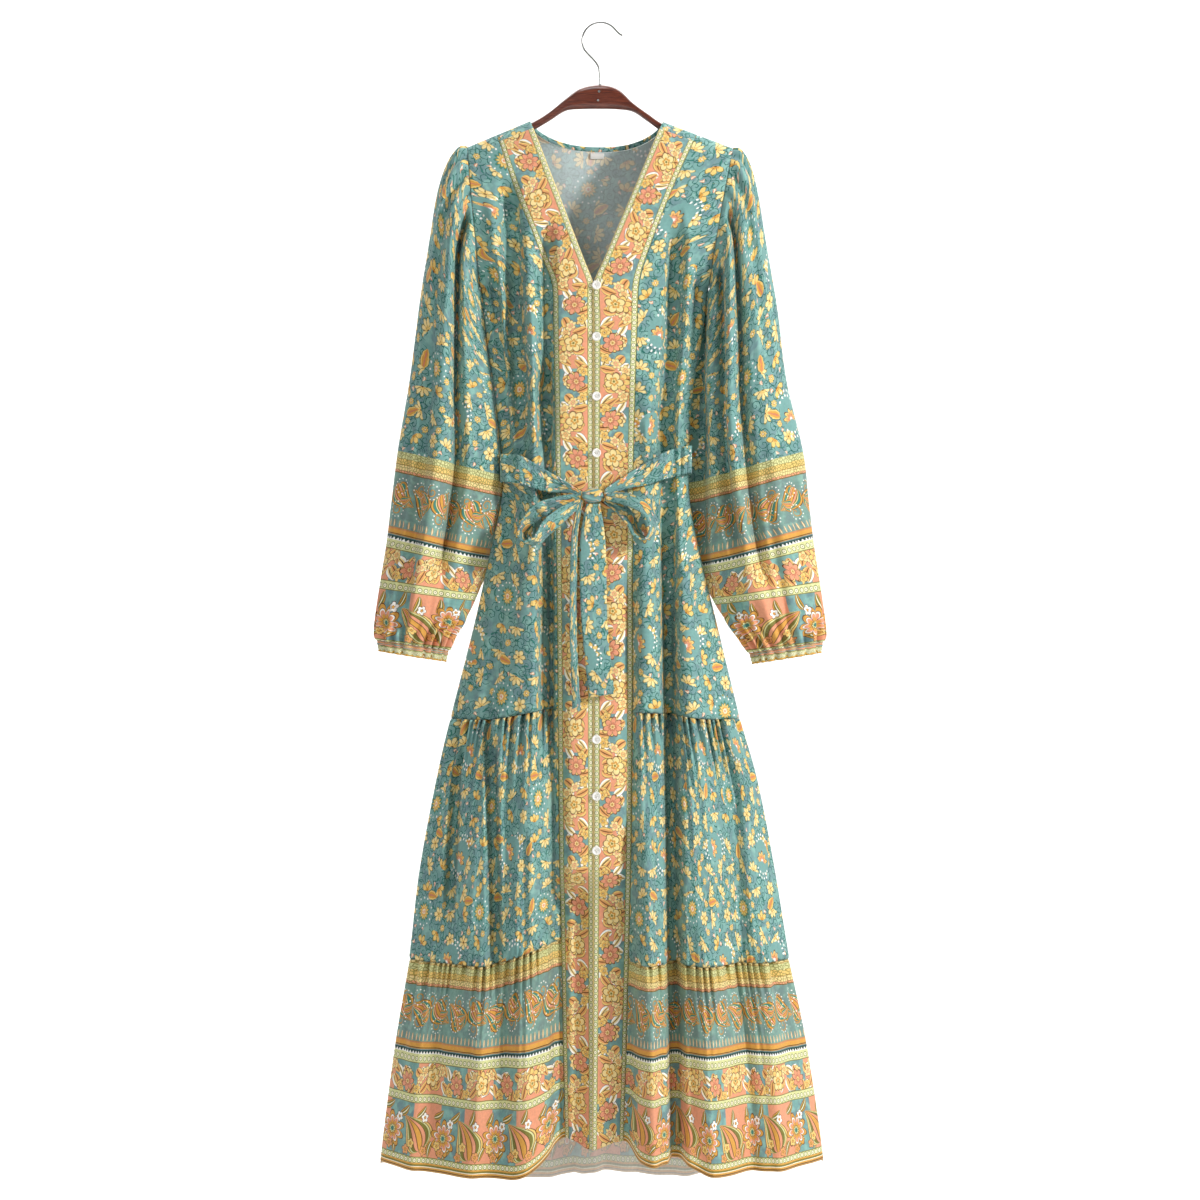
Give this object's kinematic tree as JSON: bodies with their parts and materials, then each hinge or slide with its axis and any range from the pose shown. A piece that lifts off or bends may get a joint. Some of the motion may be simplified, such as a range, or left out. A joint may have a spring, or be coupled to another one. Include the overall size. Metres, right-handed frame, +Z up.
{
  "type": "tiered maxi dress on a wooden hanger",
  "caption": "Long-sleeved V-neck maxi dress with a buttoned front, gathered tiers and a tie belt, hanging on a wooden hanger.",
  "frame": {"origin": "inside crown of the hanger's hook, where it sits on the rail", "axes": "+Z up, -Y towards the front of the dress, +X to the right seen from the front"},
  "size_m": [0.5611, 0.2185, 1.4664],
  "materials": {
    "print": "matte",
    "border": "matte",
    "button": "semi-gloss",
    "label": "matte",
    "wood": "lacquered",
    "steel": "polished"
  },
  "bodies": {
    "root": {"hanger_body": "wood", "hanger_hook": "steel", "front_upper_l": "print", "front_upper_r": "print", "back_upper": "print", "front_mid_l": "print", "front_mid_r": "print", "back_mid": "print", "front_hem_l": "print", "front_hem_r": "print", "back_hem": "print", "front_band_l": "border", "front_band_r": "border", "neck_binding": "border", "neck_label": "label", "sleeve_l": "print", "sleeve_r": "print", "cuff_l": "border", "cuff_r": "border", "belt_front_l": "print", "belt_front_r": "print", "belt_back": "print", "bow_loop_l": "print", "bow_loop_r": "print", "belt_tail_wide": "print", "belt_tail_narrow": "print", "belt_knot": "print", "button_01": "button", "button_02": "button", "button_03": "button", "button_04": "button", "button_05": "button", "button_06": "button", "button_07": "button", "button_08": "button", "button_09": "button", "button_10": "button", "button_11": "button"}
  },
  "joints": []
}
